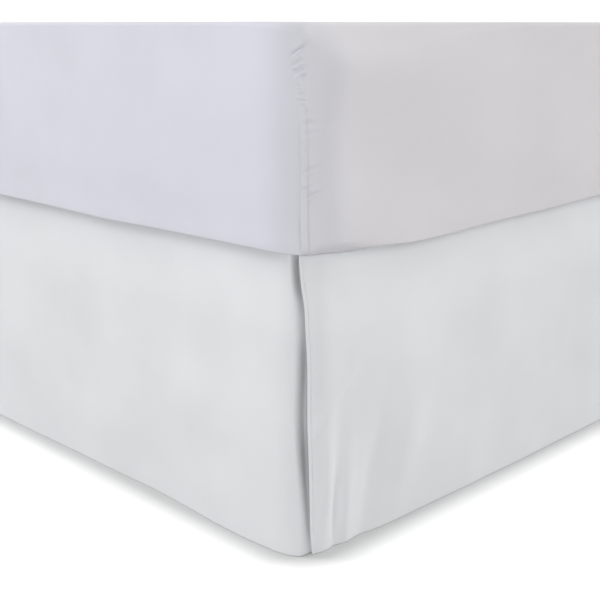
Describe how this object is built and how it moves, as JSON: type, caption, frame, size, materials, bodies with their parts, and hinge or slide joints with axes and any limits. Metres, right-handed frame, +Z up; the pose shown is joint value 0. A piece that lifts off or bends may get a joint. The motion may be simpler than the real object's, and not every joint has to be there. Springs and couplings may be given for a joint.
{
  "type": "bed skirt on a bed with mattress",
  "caption": "Tailored flat-panel bed skirt with split foot corners, hanging to the floor from its deck between a mattress and box spring on a plain steel frame.",
  "frame": {"origin": "on the floor under the middle of the bed", "axes": "+Z up, +Y along the bed towards its head, so the foot panel faces -Y; +X across the bed"},
  "size_m": [1.5402, 2.048, 0.6039],
  "materials": {
    "skirt_cloth": "plain woven cotton blend, white, matt",
    "sheet_cloth": "plain woven fitted sheet, white, matt",
    "ticking": "plain woven box spring cover, off-white",
    "frame_steel": "dark satin paint",
    "glide_plastic": "moulded, matt"
  },
  "bodies": {
    "root": {"foot_panel": "skirt_cloth", "side_panel_right": "skirt_cloth", "side_panel_left": "skirt_cloth", "deck": "skirt_cloth", "mattress": "sheet_cloth", "box_spring": "ticking", "rail_right": "frame_steel", "rail_left": "frame_steel", "cross_rail_foot": "frame_steel", "cross_rail_middle": "frame_steel", "cross_rail_head": "frame_steel", "leg_foot_right": "glide_plastic", "leg_foot_left": "glide_plastic", "leg_foot_centre": "glide_plastic", "leg_middle_right": "glide_plastic", "leg_middle_left": "glide_plastic", "leg_middle_centre": "glide_plastic", "leg_head_right": "glide_plastic", "leg_head_left": "glide_plastic", "leg_head_centre": "glide_plastic"}
  },
  "joints": []
}
